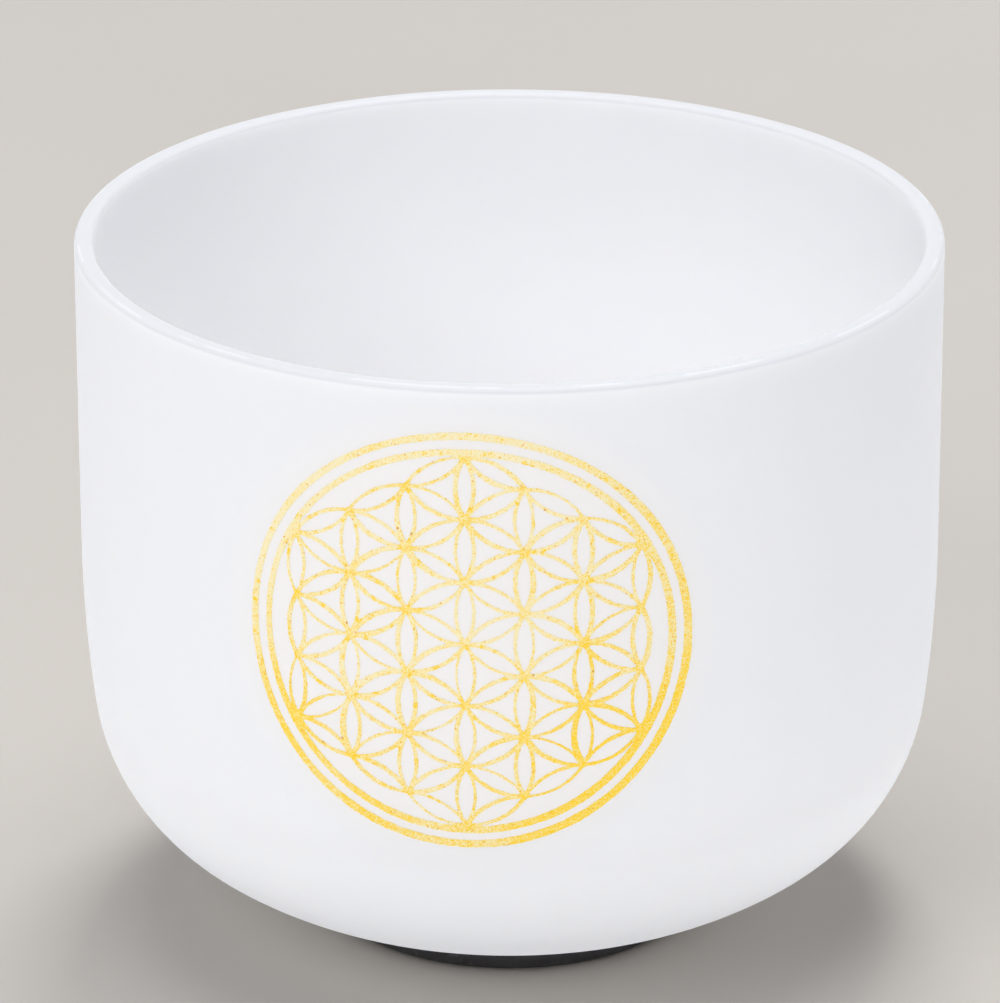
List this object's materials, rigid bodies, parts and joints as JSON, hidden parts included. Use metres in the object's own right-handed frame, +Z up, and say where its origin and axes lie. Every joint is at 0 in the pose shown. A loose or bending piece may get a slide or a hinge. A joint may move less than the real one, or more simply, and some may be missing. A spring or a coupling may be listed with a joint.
{
  "type": "singing bowl",
  "caption": "Frosted quartz singing bowl with straight sides, a rounded lip and a domed bottom, resting on a rubber O-ring, with a gilded rosette of interlaced circles on its wall.",
  "frame": {"origin": "foot of the bowl's axis, on the surface the O-ring rests on", "axes": "+Z up along the bowl's axis; -Y is the side with the rosette; +X is to the right of someone who faces the rosette"},
  "size_m": [0.254, 0.2546, 0.2128],
  "materials": {
    "frosted_quartz": "matt white frosted quartz, fine sugar grain, lip fire-polished",
    "black_rubber": "matt black nitrile rubber cord",
    "gold_film": "thin speckled gold film, satin, thin spots let the white show"
  },
  "bodies": {
    "ring": {"rubber_o_ring": "black_rubber"},
    "bowl": {"quartz_bowl": "frosted_quartz", "gold_lattice": "gold_film", "gold_outer_border": "gold_film"}
  },
  "joints": [
    {"name": "bowl_lift", "type": "slide", "parent": "ring", "child": "bowl", "axis": [0, 0, 1], "range_m": [0, 0.15]}
  ]
}
